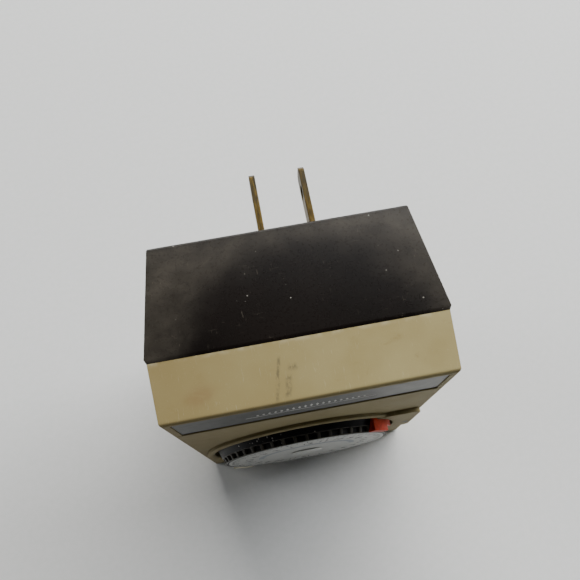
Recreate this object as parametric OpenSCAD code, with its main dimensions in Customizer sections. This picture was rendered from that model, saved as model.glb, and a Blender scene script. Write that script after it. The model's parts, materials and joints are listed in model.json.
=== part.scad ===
// Plug-in 24-hour timer: a two-blade wall timer with a front dial, trippers, a geared
// synchronous motor and a snap switch that feeds a receptacle in the bottom face.
// Axes: +Z up, +X to the right as seen from the dial, +Y out of the back along the blades.
// The origin is under the middle of the whole timer, on the surface that it stands on.

/* [Housing] */
// Width of the front housing at the seam
body_w = 66.8; // [64:0.2:70]
// Height of the front housing at the seam
body_h = 92; // [90:0.2:96]
// Depth of the front housing, from its face to the seam
front_depth = 13.6; // [13:0.2:15]
// Depth of the rear cover, from the seam to the wall side
rear_depth = 28.2; // [27:0.2:30]
// How much the front housing narrows on each side towards its face
front_draft = 1; // [0.4:0.1:1.2]
// How much the rear cover narrows on each side towards the wall
rear_draft = 2.6; // [2:0.1:2.8]
// How far the rear cover stands out past the front housing
cover_over = 0.45; // [0.2:0.05:0.6]
// Length of the bevel that leads from the seam up to the rear cover's full size
seam_bevel = 0.87; // [0.5:0.01:1.2]
// Wall thickness of both halves
wall = 2.2; // [1.8:0.1:2.4]
// Thickness of the front face
face_wall = 2; // [1.8:0.1:2.4]

/* [Dial] */
// Dial axis, to the right of the middle
dial_x = -1.34; // [-2:0.02:0]
// Dial axis, above the surface that the timer stands on
dial_z = 31.75; // [31:0.05:33]
// Inner radius of the ring around the dial
ring_inner_r = 27; // [27:0.1:27.4]
// Outer radius of the ring around the dial
ring_outer_r = 29.16; // [28.8:0.02:29.6]
// How far the ring stands out of the face
ring_h = 1.13; // [0.8:0.01:1.4]
// Radius of the dial at its front edge
dial_front_r = 24.2; // [24.2:0.1:24.6]
// Radius of the dial where it meets the face
dial_face_r = 26; // [25.9:0.05:26.1]
// How far the dial stands out of the face
dial_proud = 4.2; // [4:0.1:4.6]
// How far the centre cap stands out of the dial
cap_proud = 0.6; // [0.4:0.1:1]
// Number of half-hour pockets around the rim
pocket_count = 48; // [24:24:48]
// Direction of the ON tripper, clockwise from the top
on_angle = 53; // [40:1:70]
// Direction of the OFF tripper, clockwise from the top
off_angle = 233; // [220:1:250]

/* [Nameplate] */
// Width of the nameplate recess
name_w = 60.8; // [56:0.2:61]
// Height of the nameplate recess
name_h = 14.5; // [12:0.1:14.8]
// Depth of the nameplate recess
name_depth = 1.1; // [0.8:0.1:1.2]

/* [Plug and receptacle] */
// Distance between the blades' middles
blade_pitch = 12.7; // [12.7]
// Length of the blades outside the cover
blade_len = 18.2; // [15.9:0.1:18.3]
// Thickness of a blade
blade_t = 1.5; // [1.4:0.05:1.6]
// Width of a blade
blade_h = 6.35; // [6.2:0.05:6.5]
// Middle of the blade pair, to the right of the middle
plug_x = 2.47; // [0:0.01:4]
// Middle of the blades, above the surface that the timer stands on
plug_z = 82.7; // [82:0.1:83.4]

/* [Gears] */
// Module of the gear teeth
gear_module = 0.8; // [0.8]
// Teeth of the gear behind the dial
dial_teeth = 60; // [60]
// Teeth of the idler gear
idler_teeth = 20; // [20]
// Teeth of the motor pinion
pinion_teeth = 12; // [12]

/* [Hidden] */
$fn = 96;

// Places along the depth, from the cap's front to the blades' tips
total_depth = cap_proud + dial_proud + front_depth + rear_depth + blade_len;
cap_y = -total_depth / 2;
dial_y = cap_y + cap_proud;
face_y = dial_y + dial_proud;
seam_y = face_y + front_depth;
rear_y = seam_y + rear_depth;
tip_y = rear_y + blade_len;
rear_in_y = rear_y - wall;

// Outline of the housing at the seam
front_low = cover_over;
front_high = front_low + body_h;
cover_high = body_h + 2 * cover_over;
cover_half = body_w / 2 + cover_over;
name_top_gap = 1;
name_low = front_high - front_draft - name_top_gap - name_h;
name_t = 0.9;
name_gap = 0.1;
name_top_slit = 0.35;

// Rating label on the rear cover
label_half_w = 19.8;
label_low = 22.2;
label_high = 49.8;
label_sink = 0.3;
label_t = 0.25;

// Movement plate
plate_t = 1.2;
plate_front_y = seam_y + 4.4;
plate_rear_y = plate_front_y + plate_t;
plate_half_w = 29.8;
plate_low = 4.2;
plate_high = 88.8;

// Corner posts that clamp the movement plate between the two halves
post_x = 26.5;
post_low_z = 8.5;
post_high_z = 83.5;
post_places = [for (x = [-post_x, post_x], z = [post_low_z, post_high_z]) [x, z]];
front_post_r = 3.2;
rear_post_r = 4;
screw_r = 1.25;
screw_clear_r = 1.7;
screw_head_r = 2.7;
screw_head_h = 1.8;
screw_sink = 2.4;
screw_bite = 11;

// Dial and its hub
run = 0.05;
arbor_r = 2;
hub_r = 4.5;
faceplate_r = 23.4;
faceplate_t = 0.5;
cap_r = 4.6;
cap_plug_r = 3.6;
drum_skirt_r = 25.4;
drum_in_r = 22.9;
drum_back_y = face_y + 5;
track_r = 24.3;
track_y = face_y + 0.4;
track_w = 1.2;
pocket_w = 2.3;
pocket_floor_r = 23.6;
pocket_front_y = dial_y + 0.25;
pocket_back_y = dial_y + 1.65;
shoulder_y = drum_back_y + 2.8;
hub_end_y = plate_front_y - 6;
clip_t = 0.5;

// Gear train, all in one plane behind the dial
gear_front_y = shoulder_y + 0.7;
gear_t = 2.2;
gear_rear_y = gear_front_y + gear_t;
dial_gear_r = gear_module * dial_teeth / 2;
idler_r = gear_module * idler_teeth / 2;
pinion_r = gear_module * pinion_teeth / 2;
idler_dir = 60;
pinion_dir = 128.7;
idler_x = dial_x + (dial_gear_r + idler_r) * cos(idler_dir);
idler_z = dial_z + (dial_gear_r + idler_r) * sin(idler_dir);
pinion_x = idler_x + (idler_r + pinion_r) * cos(pinion_dir);
pinion_z = idler_z + (idler_r + pinion_r) * sin(pinion_dir);
pressure_angle = 20;
backlash = 0.08;
stud_r = 1.5;
stud_head_r = 2.4;

// Motor
motor_x = 0;
motor_z = 61.5;
can_r = 13.5;
can_depth = 10;
can_rear_y = plate_rear_y + can_depth;
stator_half_w = 17;
stator_low = 33;
stator_high = 75;
stator_t = 4;
stator_y = can_rear_y + 0.2;
stator_leg = 6;
rotor_r = 6.4;
coil_z = stator_low + stator_leg / 2;
coil_y = stator_y + stator_t / 2;
coil_side = 14.4;
coil_half_l = 8.6;
flange_t = 1.2;
motor_fix_x = 14;
motor_fix_z = [50, 71.8];
motor_screw_r = 1.25;

// Trippers
tripper_r = 26.75;
tripper_half = 8;
fin_reach = 15;

// Switch lever, which rocks about an axis along X
lever_y = seam_y + 0.8;
lever_z = dial_z;
lever_rest = -10;
lever_x0 = 25.2;
lever_x1 = 29.8;
lever_hub_r = 2.7;
lever_pin_r = 1.25;
finger_y = face_y + 0.7;
finger_x = 25.8;
nose_reach = 6;
nose_r = 1;
tab_y = seam_y - 6.6;
detent_x = 27.4;
detent_z = lever_z + 10.45;
rivet_r = 0.78;
rivet_head_r = 1.4;

// Switch contacts
leaf_x0 = 24;
leaf_x1 = 28;
leaf_z = 32.25;
leaf_t = 0.3;
leaf_root_y = rear_in_y - 4.6;
contact_y = leaf_root_y - 11;
contact_r = 1.5;
contact_h = 0.6;
contact_gap = 1.6;
terminal_t = 0.65;
base_x0 = 22;
base_x1 = 29;
tab_end_x = 19;

wire_r = 0.9;
lead_r = 0.5;
joint_gap = 0.04;

// Points of a convex outline with its corners rounded by radius r
function unit(v) = v / norm(v);
function corner(p, a, b, r, n) =
  let (
    u = unit(a - p),
    v = unit(b - p),
    half = acos(u * v) / 2,
    c = p + unit(u + v) * r / sin(half),
    s = p + u * r / tan(half) - c,
    e = p + v * r / tan(half) - c,
    from = atan2(s[1], s[0]),
    turn = (atan2(e[1], e[0]) - from + 540) % 360 - 180
  )
  [for (i = [0:n]) c + r * [cos(from + turn * i / n), sin(from + turn * i / n)]];
function rounded(points, radii, n = 6) =
  let (count = len(points))
  [
    for (i = [0:count - 1])
      each radii[i] == 0
        ? [points[i]]
        : corner(points[i], points[(i + count - 1) % count], points[(i + 1) % count], radii[i], n)
  ];

// A solid whose outline seen from above and outline seen from the side are both given
module two_outlines(plan, side) {
  reach = 60;
  intersection() {
    translate([0, 0, -reach / 4]) linear_extrude(3 * reach) polygon(plan);
    translate([-reach, 0, 0]) rotate([90, 0, 90]) linear_extrude(2 * reach) polygon(side);
  }
}

// A box given by its two corners
module box(a, b) {
  translate(a) cube(b - a);
}

// A cylinder along Y at (x, z), from y0 to y1
module rod_y(x, z, r, y0, y1) {
  translate([x, y1, z]) rotate([90, 0, 0]) cylinder(h = y1 - y0, r = r);
}

// A cylinder along X at (y, z), from x0 to x1
module rod_x(y, z, r, x0, x1) {
  translate([x0, y, z]) rotate([0, 90, 0]) cylinder(h = x1 - x0, r = r);
}

// A flat ring along Y
module ring_y(x, z, r_out, r_in, y0, y1) {
  difference() {
    rod_y(x, z, r_out, y0, y1);
    rod_y(x, z, r_in, y0 - 1, y1 + 1);
  }
}

// An outline in X and Z, extruded from y0 to y1
module slab_y(points, y0, y1) {
  translate([0, y1, 0]) rotate([90, 0, 0]) linear_extrude(y1 - y0) polygon(points);
}

// A turned shape about an axis along Y at (x, z); the outline is in radius and y
module turned(x, z, outline) {
  translate([x, 0, z]) rotate([90, 0, 0])
    rotate_extrude() polygon([for (p = outline) [p[0], -p[1]]]);
}

// A part of a turned shape, from a0 to a1 degrees clockwise from the top
module turned_part(x, z, a0, a1, outline) {
  translate([x, 0, z]) rotate([0, a1 - 90, 0]) rotate([90, 0, 0])
    rotate_extrude(angle = a1 - a0) polygon([for (p = outline) [p[0], -p[1]]]);
}

// A wire of radius r that bends smoothly through a list of points
function blend_at(a, b, c, d, t) =
  0.5 * (2 * b + (c - a) * t + (2 * a - 5 * b + 4 * c - d) * t * t + (3 * b - a - 3 * c + d) * t * t * t);
function smooth(points, steps = 4) =
  let (last = len(points) - 1)
  [
    for (i = [0:last - 1])
      for (k = [0:steps - (i < last - 1 ? 1 : 0)])
        blend_at(points[max(i - 1, 0)], points[i], points[i + 1], points[min(i + 2, last)], k / steps)
  ];
module wire(points, r, sides = 8) {
  path = smooth(points);
  last = len(path) - 1;
  side_hint = [1, 1, 0];
  rings = [
    for (i = [0:last])
      let (
        along = unit(path[min(i + 1, last)] - path[max(i - 1, 0)]),
        across = unit(cross(along, side_hint)),
        up = cross(along, across)
      )
      for (k = [0:sides - 1]) path[i] + r * (cos(360 * k / sides) * across + sin(360 * k / sides) * up)
  ];
  skin = [
    for (i = [0:last - 1], k = [0:sides - 1])
      let (a = i * sides + k, b = i * sides + (k + 1) % sides)
      each [[a, a + sides, b], [b, a + sides, b + sides]]
  ];
  start_cap = [for (k = [0:sides - 1]) k];
  end_cap = [for (k = [sides - 1:-1:0]) last * sides + k];
  polyhedron(rings, concat(skin, [start_cap, end_cap]));
}

// Involute gear outline
function involute(base, roll) =
  base * [cos(roll) + roll * PI / 180 * sin(roll), sin(roll) - roll * PI / 180 * cos(roll)];
function turn_by(p, a) = [p[0] * cos(a) - p[1] * sin(a), p[0] * sin(a) + p[1] * cos(a)];
function roll_at(base, r) = sqrt(pow(r / base, 2) - 1) * 180 / PI;
function half_tooth(teeth, base, pitch) =
  let (roll = roll_at(base, pitch))
  90 / teeth - backlash / pitch / 2 * 90 / PI + roll - atan(roll * PI / 180);
function gear_points(teeth) =
  let (
    pitch = gear_module * teeth / 2,
    base = pitch * cos(pressure_angle),
    tip = pitch + 0.9 * gear_module,
    root = pitch - 1.2 * gear_module,
    half = half_tooth(teeth, base, pitch),
    start = root > base ? roll_at(base, root) : 0,
    end = roll_at(base, tip),
    steps = 4
  )
  [
    for (t = [0:teeth - 1])
      each concat(
        root > base ? [] : [turn_by([root, 0], 360 / teeth * t - half)],
        [for (i = [0:steps])
          turn_by(involute(base, start + (end - start) * i / steps), 360 / teeth * t - half)],
        [for (i = [steps:-1:0])
          let (p = involute(base, start + (end - start) * i / steps))
          turn_by([p[0], -p[1]], 360 / teeth * t + half)],
        root > base ? [] : [turn_by([root, 0], 360 / teeth * t + half)]
      )
  ];
module gear(x, z, teeth, phase, bore) {
  difference() {
    translate([x, gear_rear_y, z]) rotate([90, 0, 0]) rotate([0, 0, phase])
      linear_extrude(gear_t) polygon(gear_points(teeth));
    rod_y(x, z, bore, gear_front_y - 1, gear_rear_y + 1);
  }
}

// Turns that bring the teeth of meshing gears into each other's gaps
dial_phase = idler_dir;
idler_phase = idler_dir + 180 + 180 / idler_teeth;
idler_pitch_deg = 360 / idler_teeth;
idler_off = (idler_phase - pinion_dir + 3600 + idler_pitch_deg / 2) % idler_pitch_deg - idler_pitch_deg / 2;
pinion_phase = pinion_dir + 180 + 180 / pinion_teeth - idler_off * idler_teeth / pinion_teeth;

// ---------------------------------------------------------------- housing

module front_block(inset, y0) {
  grow = front_draft / front_depth;
  half_seam = body_w / 2 - inset;
  half_face = half_seam - front_draft + grow * (y0 - face_y);
  high_seam = front_high - inset;
  high_face = high_seam - front_draft + grow * (y0 - face_y);
  low = front_low + inset;
  edge = inset == 0 ? 0.9 : 0.5;
  two_outlines(
    rounded(
      [[-half_seam, seam_y], [-half_face, y0], [half_face, y0], [half_seam, seam_y]],
      [0, edge, edge, 0]
    ),
    rounded([[seam_y, low], [seam_y, high_seam], [y0, high_face], [y0, low]], [0, 0, edge, edge])
  );
}

module time_boss() {
  boss_r = 2;
  slab_y(
    rounded(
      [[dial_x + 20, dial_z - 7.2], [31.7, dial_z - 7.2],
       [31.5, dial_z + 17.8], [dial_x + 20, dial_z + 17.8]],
      [0, boss_r, boss_r, 0]
    ),
    face_y - 1.2, face_y + 0.5
  );
}

module front_ring() {
  bead = ring_h / 2;
  turned(dial_x, dial_z, [
    [ring_inner_r, face_y + 0.5],
    [ring_inner_r, face_y - bead],
    for (a = [0:15:180])
      [(ring_inner_r + ring_outer_r) / 2 - (ring_outer_r - ring_inner_r) / 2 * cos(a),
       face_y - bead - bead * sin(a)],
    [ring_outer_r, face_y + 0.5]
  ]);
}

module seam_lip() {
  lip_half = cover_half - wall - 0.25;
  lip_t = 0.9;
  lip_low = wall + 0.15;
  lip_high = cover_high - wall - 0.25;
  difference() {
    box([-lip_half, seam_y - 2, lip_low + 0.3], [lip_half, seam_y + 1.5, lip_high]);
    box([-lip_half + lip_t, seam_y - 3, lip_low + lip_t], [lip_half - lip_t, seam_y + 2, lip_high - lip_t]);
    // Gap for the end of the lever's pin
    box([lip_half - lip_t - 1, seam_y - 3, lever_z - 4], [lip_half + 1, seam_y + 2, lever_z + 4]);
  }
}

module front_housing() {
  dial_clear = 1.2;
  color([0.69, 0.64, 0.49])
  difference() {
    union() {
      difference() {
        union() {
          front_block(0, face_y);
          time_boss();
          front_ring();
        }
        front_block(wall, face_y + face_wall);
      }
      intersection() {
        seam_lip();
        box([-40, seam_y - 2, 0], [40, seam_y + 2, 100]);
      }
      ring_y(dial_x, dial_z, ring_inner_r + dial_clear, ring_inner_r, face_y + 0.5, face_y + 6);
      for (p = post_places) rod_y(p[0], p[1], front_post_r, face_y + 1, plate_front_y);
    }
    // Opening for the dial
    rod_y(dial_x, dial_z, ring_inner_r, face_y - 5, face_y + face_wall + 1);
    // Recess for the nameplate, and the groove along its lower edge
    box([-name_w / 2, face_y - 1, name_low], [name_w / 2, face_y + name_depth, name_low + name_h]);
    translate([-50, face_y, name_low - 0.4]) rotate([45, 0, 0])
      translate([0, -0.3, -0.3]) cube([100, 0.6, 0.6]);
    // Holes for the housing screws
    for (p = post_places) rod_y(p[0], p[1], screw_r, plate_front_y - screw_bite, plate_front_y + 1);
    // Window for the lever's finger
    box([finger_x - 0.8, finger_y - 0.45, lever_z - 4.35], [30.2, face_y + 6.1, lever_z + 4.35]);
    // Scoop and slot for the thumb tab
    box([32.1, tab_y - 4.6, lever_z - 7], [40, tab_y + 4.6, lever_z + 7]);
    box([29, tab_y - 2.1, lever_z - 3.3], [40, tab_y + 2.1, lever_z + 3.3]);
  }
}

module nameplate() {
  half = name_w / 2 - name_gap;
  low = name_low + name_gap;
  high = name_low + name_h - name_top_slit;
  color([0.36, 0.36, 0.37])
    slab_y(
      rounded([[-half, low], [half, low], [half, high], [-half, high]], [0.5, 0.5, 0.5, 0.5]),
      face_y + name_depth - name_t, face_y + name_depth
    );
}

module cover_block(inset, y1) {
  shrink = rear_draft / rear_depth * (rear_y - y1);
  half_seam = cover_half - inset;
  half_rear = half_seam - rear_draft + shrink;
  high_seam = cover_high - inset;
  high_rear = high_seam - rear_draft + shrink;
  edge = inset == 0 ? 0.8 : 0.5;
  step = inset == 0 ? cover_over : 0;
  two_outlines(
    rounded(
      [[-half_seam + step, seam_y], [half_seam - step, seam_y], [half_seam, seam_y + seam_bevel],
       [half_rear, y1], [-half_rear, y1], [-half_seam, seam_y + seam_bevel]],
      [0, 0, 0, edge, edge, 0]
    ),
    rounded(
      [[seam_y, inset + step], [seam_y + seam_bevel, inset], [y1, inset], [y1, high_rear],
       [seam_y + seam_bevel, high_seam], [seam_y, high_seam - step]],
      [0, 0, 0, edge, 0, 0]
    )
  );
}

// The room inside the rear cover, open towards the seam
module cover_room() {
  shrink = rear_draft / rear_depth * wall;
  half_seam = cover_half - wall;
  high_seam = cover_high - wall;
  two_outlines(
    [[-half_seam, seam_y - 1], [half_seam, seam_y - 1], [half_seam, seam_y + seam_bevel],
     [half_seam - rear_draft + shrink, rear_in_y], [-half_seam + rear_draft - shrink, rear_in_y],
     [-half_seam, seam_y + seam_bevel]],
    [[seam_y - 1, wall], [rear_in_y, wall], [rear_in_y, high_seam - rear_draft + shrink],
     [seam_y + seam_bevel, high_seam], [seam_y - 1, high_seam]]
  );
}

module blade_slots() {
  for (side = [-1, 1]) {
    x = plug_x + side * blade_pitch / 2;
    box([x - blade_t / 2, rear_in_y - 1, plug_z - blade_h / 2],
        [x + blade_t / 2, rear_y + 1, plug_z + blade_h / 2]);
  }
}

socket_y = (seam_y + rear_y) / 2;
socket_half_w = 12;
socket_half_d = 6;
socket_sink = 0.6;

module receptacle_slots(low, high) {
  slot_w = 2;
  slot_l = 7.2;
  for (side = [-1, 1]) {
    x = side * blade_pitch / 2;
    box([x - slot_w / 2, socket_y - slot_l / 2, low], [x + slot_w / 2, socket_y + slot_l / 2, high]);
  }
}

module rear_cover() {
  color([0.15, 0.14, 0.13])
  difference() {
    union() {
      difference() {
        cover_block(0, rear_y);
        cover_room();
      }
      intersection() {
        cover_block(0, rear_y);
        for (p = post_places) rod_y(p[0], p[1], rear_post_r, plate_rear_y, rear_y);
      }
    }
    for (p = post_places) {
      rod_y(p[0], p[1], screw_clear_r, seam_y, rear_y + 1);
      rod_y(p[0], p[1], screw_head_r + 0.2, rear_y - screw_sink, rear_y + 1);
    }
    blade_slots();
    receptacle_slots(-1, wall + 1);
    // Shallow rounded face around the receptacle slots
    translate([0, socket_y, -1]) linear_extrude(1 + socket_sink)
      polygon(rounded(
        [[-socket_half_w, -socket_half_d], [socket_half_w, -socket_half_d],
         [socket_half_w, socket_half_d], [-socket_half_w, socket_half_d]],
        [5, 5, 5, 5]
      ));
    // Seat of the rating label
    box([-label_half_w - 0.2, rear_y - label_sink, label_low - 0.2],
        [label_half_w + 0.2, rear_y + 1, label_high + 0.2]);
  }
}

module rating_label() {
  color([0.74, 0.74, 0.72])
    slab_y(
      rounded(
        [[-label_half_w, label_low], [label_half_w, label_low],
         [label_half_w, label_high], [-label_half_w, label_high]],
        [1, 1, 1, 1]
      ),
      rear_y - label_sink, rear_y - label_sink + label_t
    );
}

module housing_screws() {
  head_y = rear_y - screw_sink + screw_head_h;
  slot_w = 0.7;
  color([0.62, 0.6, 0.55])
  for (p = post_places) {
    difference() {
      union() {
        rod_y(p[0], p[1], screw_head_r, rear_y - screw_sink, head_y);
        rod_y(p[0], p[1], screw_r - 0.02, plate_front_y - screw_bite + 1, rear_y - screw_sink + 0.5);
      }
      for (turn = [20, 110])
        translate([p[0], head_y - 0.8, p[1]]) rotate([0, turn, 0])
          box([-1.7, 0, -slot_w / 2], [1.7, 1, slot_w / 2]);
    }
  }
}

// ---------------------------------------------------------------- blades and receptacle

blade_end = rear_in_y - 6.6;
blade_hole_out = 11.9;
blade_hole_r = 1.98;

module blade(x) {
  tip_cut = 1.1;
  shoulder = 1.2;
  half = blade_h / 2;
  difference() {
    translate([x - blade_t / 2, 0, plug_z]) rotate([90, 0, 90]) linear_extrude(blade_t)
      polygon([
        [blade_end, -half], [rear_in_y - 1.5, -half], [rear_in_y - 1.5, -half - shoulder],
        [rear_in_y, -half - shoulder], [rear_in_y, -half], [tip_y - tip_cut, -half],
        [tip_y, -half + tip_cut], [tip_y, half - tip_cut], [tip_y - tip_cut, half],
        [rear_in_y, half], [rear_in_y, half + shoulder], [rear_in_y - 1.5, half + shoulder],
        [rear_in_y - 1.5, half], [blade_end, half]
      ]);
    // Detent hole of a standard blade
    rod_x(rear_y + blade_hole_out, plug_z, blade_hole_r, x - 2, x + 2);
    // Thinned tip, so that the blade finds its slot
    for (side = [-1, 1])
      translate([x + side * blade_t / 2, tip_y, plug_z]) rotate([0, 0, side * 18])
        box([side > 0 ? 0 : -1, -1.6, -half - 1], [side > 0 ? 1 : 0, 1, half + 1]);
  }
}

module line_blade() { color([0.72, 0.6, 0.3]) blade(plug_x + blade_pitch / 2); }
module neutral_blade() { color([0.62, 0.5, 0.26]) blade(plug_x - blade_pitch / 2); }

insert_high = 13.6;

module receptacle_insert() {
  color([0.35, 0.22, 0.14])
  difference() {
    box([-socket_half_w, socket_y - 5.4, wall + 0.02], [socket_half_w, socket_y + 5.4, insert_high]);
    for (side = [-1, 1]) {
      x = side * blade_pitch / 2;
      box([x - 2.2, socket_y - 3.7, wall + 1.4], [x + 2.2, socket_y + 3.7, insert_high + 1]);
    }
    receptacle_slots(0, wall + 2);
  }
}

module socket_contact(x) {
  strip = 0.5;
  grip = 0.65;
  half_y = 3.2;
  top = insert_high + 1;
  for (side = [-1, 1]) {
    inner = x + side * grip;
    outer = x + side * (grip + strip);
    box([min(inner, outer), socket_y - half_y, wall + 1.6], [max(inner, outer), socket_y + half_y, top]);
  }
  box([x - grip - strip, socket_y - half_y, top - strip], [x + grip + strip, socket_y + half_y, top]);
  box([x - strip / 2, socket_y - 1.2, top - strip], [x + strip / 2, socket_y + 1.2, top + 3]);
}

module line_contact() { color([0.75, 0.6, 0.28]) socket_contact(blade_pitch / 2); }
module neutral_contact() { color([0.75, 0.6, 0.28]) socket_contact(-blade_pitch / 2); }

// ---------------------------------------------------------------- movement plate and dial

bracket_x = 24.9;

module chassis_plate() {
  lug_t = 1;
  color([0.66, 0.66, 0.64])
  difference() {
    union() {
      box([-plate_half_w, plate_front_y, plate_low], [plate_half_w, plate_rear_y, plate_high]);
      // Lug bent forward to carry the lever's pin
      box([bracket_x - lug_t, lever_y - 3.2, lever_z - 3.6], [bracket_x, plate_rear_y, lever_z + 3.6]);
    }
    for (p = post_places) rod_y(p[0], p[1], screw_clear_r, plate_front_y - 1, plate_rear_y + 1);
    rod_y(dial_x, dial_z, arbor_r, plate_front_y - 1, plate_rear_y + 1);
    rod_y(idler_x, idler_z, stud_r, plate_front_y - 1, plate_rear_y + 1);
    rod_y(pinion_x, pinion_z, 3, plate_front_y - 1, plate_rear_y + 1);
    for (x = [-motor_fix_x, motor_fix_x], z = motor_fix_z)
      rod_y(motor_x + x, z, motor_screw_r, plate_front_y - 1, plate_rear_y + 1);
    rod_x(lever_y, lever_z, lever_pin_r, bracket_x - 3, bracket_x + 3);
    // Slot for the switch lever and the contact leaf
    box([bracket_x, plate_front_y - 1, lever_z - 7.5], [plate_half_w + 1, plate_rear_y + 1, lever_z + 7]);
    box([leaf_x0 - 0.5, plate_front_y - 1, leaf_z - 1], [bracket_x + 1, plate_rear_y + 1, leaf_z + 6]);
    rod_y(detent_x, detent_z, rivet_r + 0.02, plate_front_y - 1, plate_rear_y + 1);
  }
}

module dial_arbor() {
  groove_y = dial_y + 1.05;
  color([0.72, 0.72, 0.7])
    turned(dial_x, dial_z, [
      [0, plate_rear_y + 0.6], [3, plate_rear_y + 0.6], [3, plate_rear_y],
      [arbor_r - 0.02, plate_rear_y], [arbor_r - 0.02, plate_front_y], [3.5, plate_front_y],
      [3.5, hub_end_y + 0.1], [arbor_r, hub_end_y + 0.1], [arbor_r, groove_y + 0.3],
      [1.5, groove_y + 0.3], [1.5, groove_y], [arbor_r, groove_y], [arbor_r, dial_y + 0.7],
      [0, dial_y + 0.7]
    ]);
}

module arbor_clip() {
  color([0.3, 0.3, 0.32])
  difference() {
    ring_y(dial_x, dial_z, 3.4, 1.52, dial_y + 1.09, dial_y + 1.31);
    box([dial_x - 1.2, dial_y, dial_z - 5], [dial_x + 1.2, dial_y + 2, dial_z - 1]);
  }
}

module dial_drum() {
  front_wall_y = dial_y + 1.8;
  clip_y = hub_end_y - 1.1;
  color([0.08, 0.08, 0.09])
  difference() {
    turned(dial_x, dial_z, [
      [arbor_r + run, dial_y + 1.4], [4, dial_y + 1.4], [4, dial_y + faceplate_t],
      [faceplate_r, dial_y + faceplate_t], [faceplate_r, dial_y], [dial_front_r, dial_y],
      [dial_face_r, face_y], [drum_skirt_r, face_y], [drum_skirt_r, track_y], [track_r, track_y],
      [track_r, track_y + track_w], [drum_skirt_r, track_y + track_w], [drum_skirt_r, drum_back_y],
      [drum_in_r, drum_back_y], [drum_in_r, front_wall_y], [6.5, front_wall_y], [6.5, shoulder_y],
      [hub_r, shoulder_y], [hub_r, clip_y], [hub_r - 0.5, clip_y], [hub_r - 0.5, clip_y + 0.6],
      [hub_r, clip_y + 0.6], [hub_r, hub_end_y], [arbor_r + run, hub_end_y]
    ]);
    for (i = [0:pocket_count - 1])
      translate([dial_x, 0, dial_z]) rotate([0, 360 / pocket_count * (i + 0.5), 0])
        box([-pocket_w / 2, pocket_front_y, pocket_floor_r], [pocket_w / 2, pocket_back_y, dial_face_r + 1]);
  }
}

module dial_faceplate() {
  color([0.78, 0.78, 0.77])
    ring_y(dial_x, dial_z, faceplate_r - 0.02, cap_plug_r, dial_y, dial_y + faceplate_t);
}

module dial_cap() {
  color([0.12, 0.12, 0.13])
    turned(dial_x, dial_z, [
      [0, cap_y], [cap_r - 0.4, cap_y], [cap_r, cap_y + 0.3], [cap_r, dial_y],
      [cap_plug_r - 0.02, dial_y], [cap_plug_r - 0.02, dial_y + faceplate_t + 0.1],
      [0, dial_y + faceplate_t + 0.1]
    ]);
}

module gear_clip() {
  clip_y = hub_end_y - 1.1;
  color([0.3, 0.3, 0.32])
  difference() {
    ring_y(dial_x, dial_z, 6.6, hub_r - 0.48, clip_y + 0.05, clip_y + 0.55);
    box([dial_x - 2.4, clip_y - 1, dial_z - 8], [dial_x + 2.4, clip_y + 2, dial_z - 3]);
  }
}

module dial_gear() {
  spokes = 5;
  color([0.83, 0.79, 0.66])
  difference() {
    gear(dial_x, dial_z, dial_teeth, dial_phase, hub_r + run);
    for (i = [0:spokes - 1])
      translate([dial_x, 0, dial_z]) rotate([0, 360 / spokes * i, 0]) translate([0, 0, 15.5])
        rod_y(0, 0, 4.6, gear_front_y - 1, gear_rear_y + 1);
  }
}

module friction_washer() {
  color([0.75, 0.58, 0.3])
    ring_y(dial_x, dial_z, 9, hub_r + run, gear_front_y - 0.6, gear_front_y - 0.05);
}

module tripper(middle) {
  off = 0.07;
  back_y = face_y + 2.3;
  front = dial_y - 0.05;
  fin_front = dial_y + 1.5;
  difference() {
    // Block on the rim, with a foot behind the face and a tongue that rides in the drum's track
    turned_part(dial_x, dial_z, middle - tripper_half, middle + fin_reach, [
      [tripper_r, front], [dial_front_r + off, front], [dial_face_r + off, face_y - 0.1],
      [dial_face_r + off, face_y + 0.08], [drum_skirt_r + off, face_y + 0.08],
      [drum_skirt_r + off, track_y + 0.08], [track_r + off, track_y + 0.08],
      [track_r + off, track_y + track_w - 0.08], [drum_skirt_r + off, track_y + track_w - 0.08],
      [drum_skirt_r + off, back_y], [tripper_r, back_y]
    ]);
    // The trailing end is lower and forms the fin
    turned_part(dial_x, dial_z, middle + tripper_half, middle + fin_reach + 5, [
      [tripper_r + 2, front - 1], [dial_front_r - 2, front - 1],
      [dial_front_r - 2, fin_front], [tripper_r + 2, fin_front]
    ]);
  }
}

module on_tripper() { color([0.85, 0.33, 0.12]) tripper(on_angle); }
module off_tripper() { color([0.8, 0.78, 0.7]) tripper(off_angle); }

// ---------------------------------------------------------------- gear train and motor

module idler_stud() {
  color([0.72, 0.72, 0.7])
    turned(idler_x, idler_z, [
      [0, plate_rear_y + 0.5], [stud_head_r, plate_rear_y + 0.5], [stud_head_r, plate_rear_y],
      [stud_r - 0.02, plate_rear_y],
      [stud_r - 0.02, plate_front_y], [2.6, plate_front_y], [2.6, gear_rear_y + 0.2],
      [stud_r, gear_rear_y + 0.2], [stud_r, gear_front_y - 0.5], [1.1, gear_front_y - 0.5],
      [1.1, gear_front_y - 1], [stud_r, gear_front_y - 1], [stud_r, gear_front_y - 1.5],
      [0, gear_front_y - 1.5]
    ]);
}

module idler_gear() {
  color([0.86, 0.83, 0.72]) gear(idler_x, idler_z, idler_teeth, idler_phase, stud_r + run);
}

module idler_clip() {
  color([0.3, 0.3, 0.32])
  difference() {
    ring_y(idler_x, idler_z, 2.8, 1.12, gear_front_y - 0.95, gear_front_y - 0.55);
    box([idler_x - 0.8, gear_front_y - 2, idler_z - 4], [idler_x + 0.8, gear_front_y, idler_z - 0.6]);
  }
}

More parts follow.
